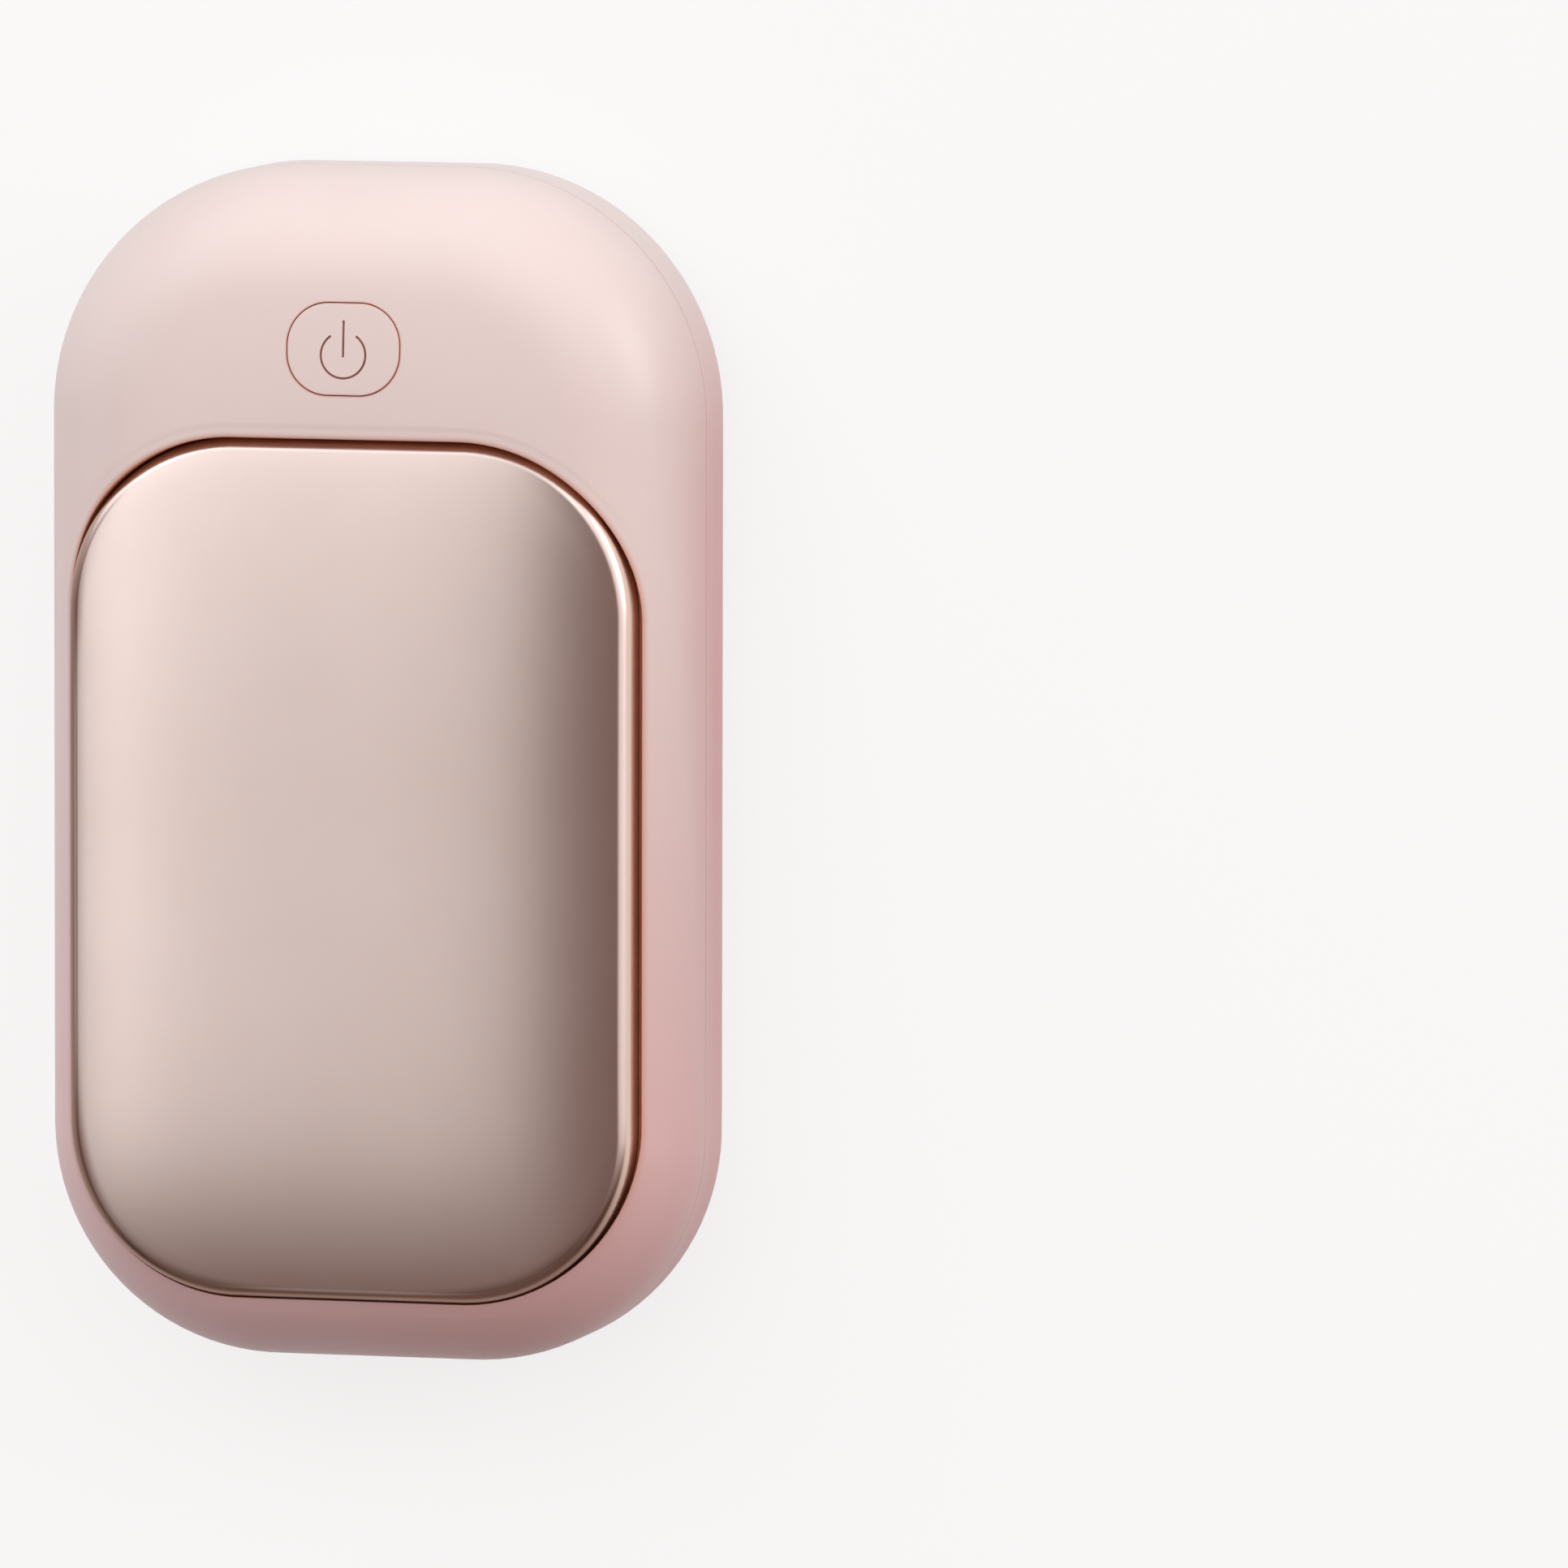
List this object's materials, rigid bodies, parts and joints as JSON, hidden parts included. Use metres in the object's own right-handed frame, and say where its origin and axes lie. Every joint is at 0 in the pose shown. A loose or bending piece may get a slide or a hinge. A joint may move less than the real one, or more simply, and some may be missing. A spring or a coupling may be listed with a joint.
{
  "type": "rechargeable hand warmer",
  "caption": "Pebble-shaped pocket hand warmer with a pillowed metal heating panel, an oval push button and a flat magnetic back.",
  "frame": {"origin": "centre of the flat back face, at the bottom of the bounding box", "axes": "+Z out of the heating panel, +Y along the length towards the button end, +X across the width"},
  "size_m": [0.05, 0.089, 0.0174],
  "materials": {
    "shell": "pale pink, satin",
    "button": "pale pink, satin, with an engraved sign",
    "panel": "rose gold anodised, fine bead-blasted",
    "tape": "black adhesive tape",
    "foil": "amber foil",
    "wire": "wire insulation",
    "sensor": "dark epoxy bead",
    "foam": "closed-cell foam",
    "cell": "laminated pouch",
    "board": "solder mask",
    "chip": "moulded chip body",
    "nickel": "nickel strip",
    "steel": "bright steel",
    "contact": "gold-plated contact",
    "ferrite": "ferrite",
    "ceramic": "ceramic chip part",
    "solder": "solder",
    "ribbon": "grey wire insulation",
    "plunger": "white moulded plunger",
    "guide": "clear light guide",
    "lamp": "lamp body",
    "magnet": "nickel-plated magnet"
  },
  "bodies": {
    "housing": {"front_shell": "shell", "back_cover": "shell", "heating_panel": "panel", "panel_tape": "tape", "heater_film": "foil", "heater_leads": "wire", "thermistor": "sensor", "thermistor_leads": "ribbon", "insulation_foam": "foam", "battery_cell": "cell", "battery_tape": "tape", "battery_board": "board", "protection_chips": "chip", "battery_tabs": "nickel", "battery_leads": "wire", "main_board": "board", "socket_shell": "steel", "socket_tongue": "chip", "socket_contacts": "contact", "charge_chip": "chip", "control_chip": "chip", "inductor": "ferrite", "capacitors": "ceramic", "resistors": "chip", "solder_joints": "solder", "board_lead": "ribbon", "switch_board": "board", "switch_base": "chip", "switch_cover": "steel", "switch_terminals": "solder", "switch_dome": "steel", "indicator_leds": "lamp", "board_screws": "steel", "magnets": "magnet"},
    "button": {"power_button": "button", "light_guide": "guide"},
    "plunger": {"switch_plunger": "plunger"}
  },
  "joints": [
    {"name": "button_press", "type": "slide", "parent": "housing", "child": "button", "axis": [0, 0, -1], "range_m": [0, 0.0003], "stiffness_N_per_m": 1500, "springref_m": -0.0005},
    {"name": "plunger_press", "type": "slide", "parent": "housing", "child": "plunger", "axis": [0, 0, -1], "range_m": [0, 0.0003]}
  ],
  "couplings": [
    {"joint": "plunger_press", "follows": "button_press", "ratio": 1}
  ]
}
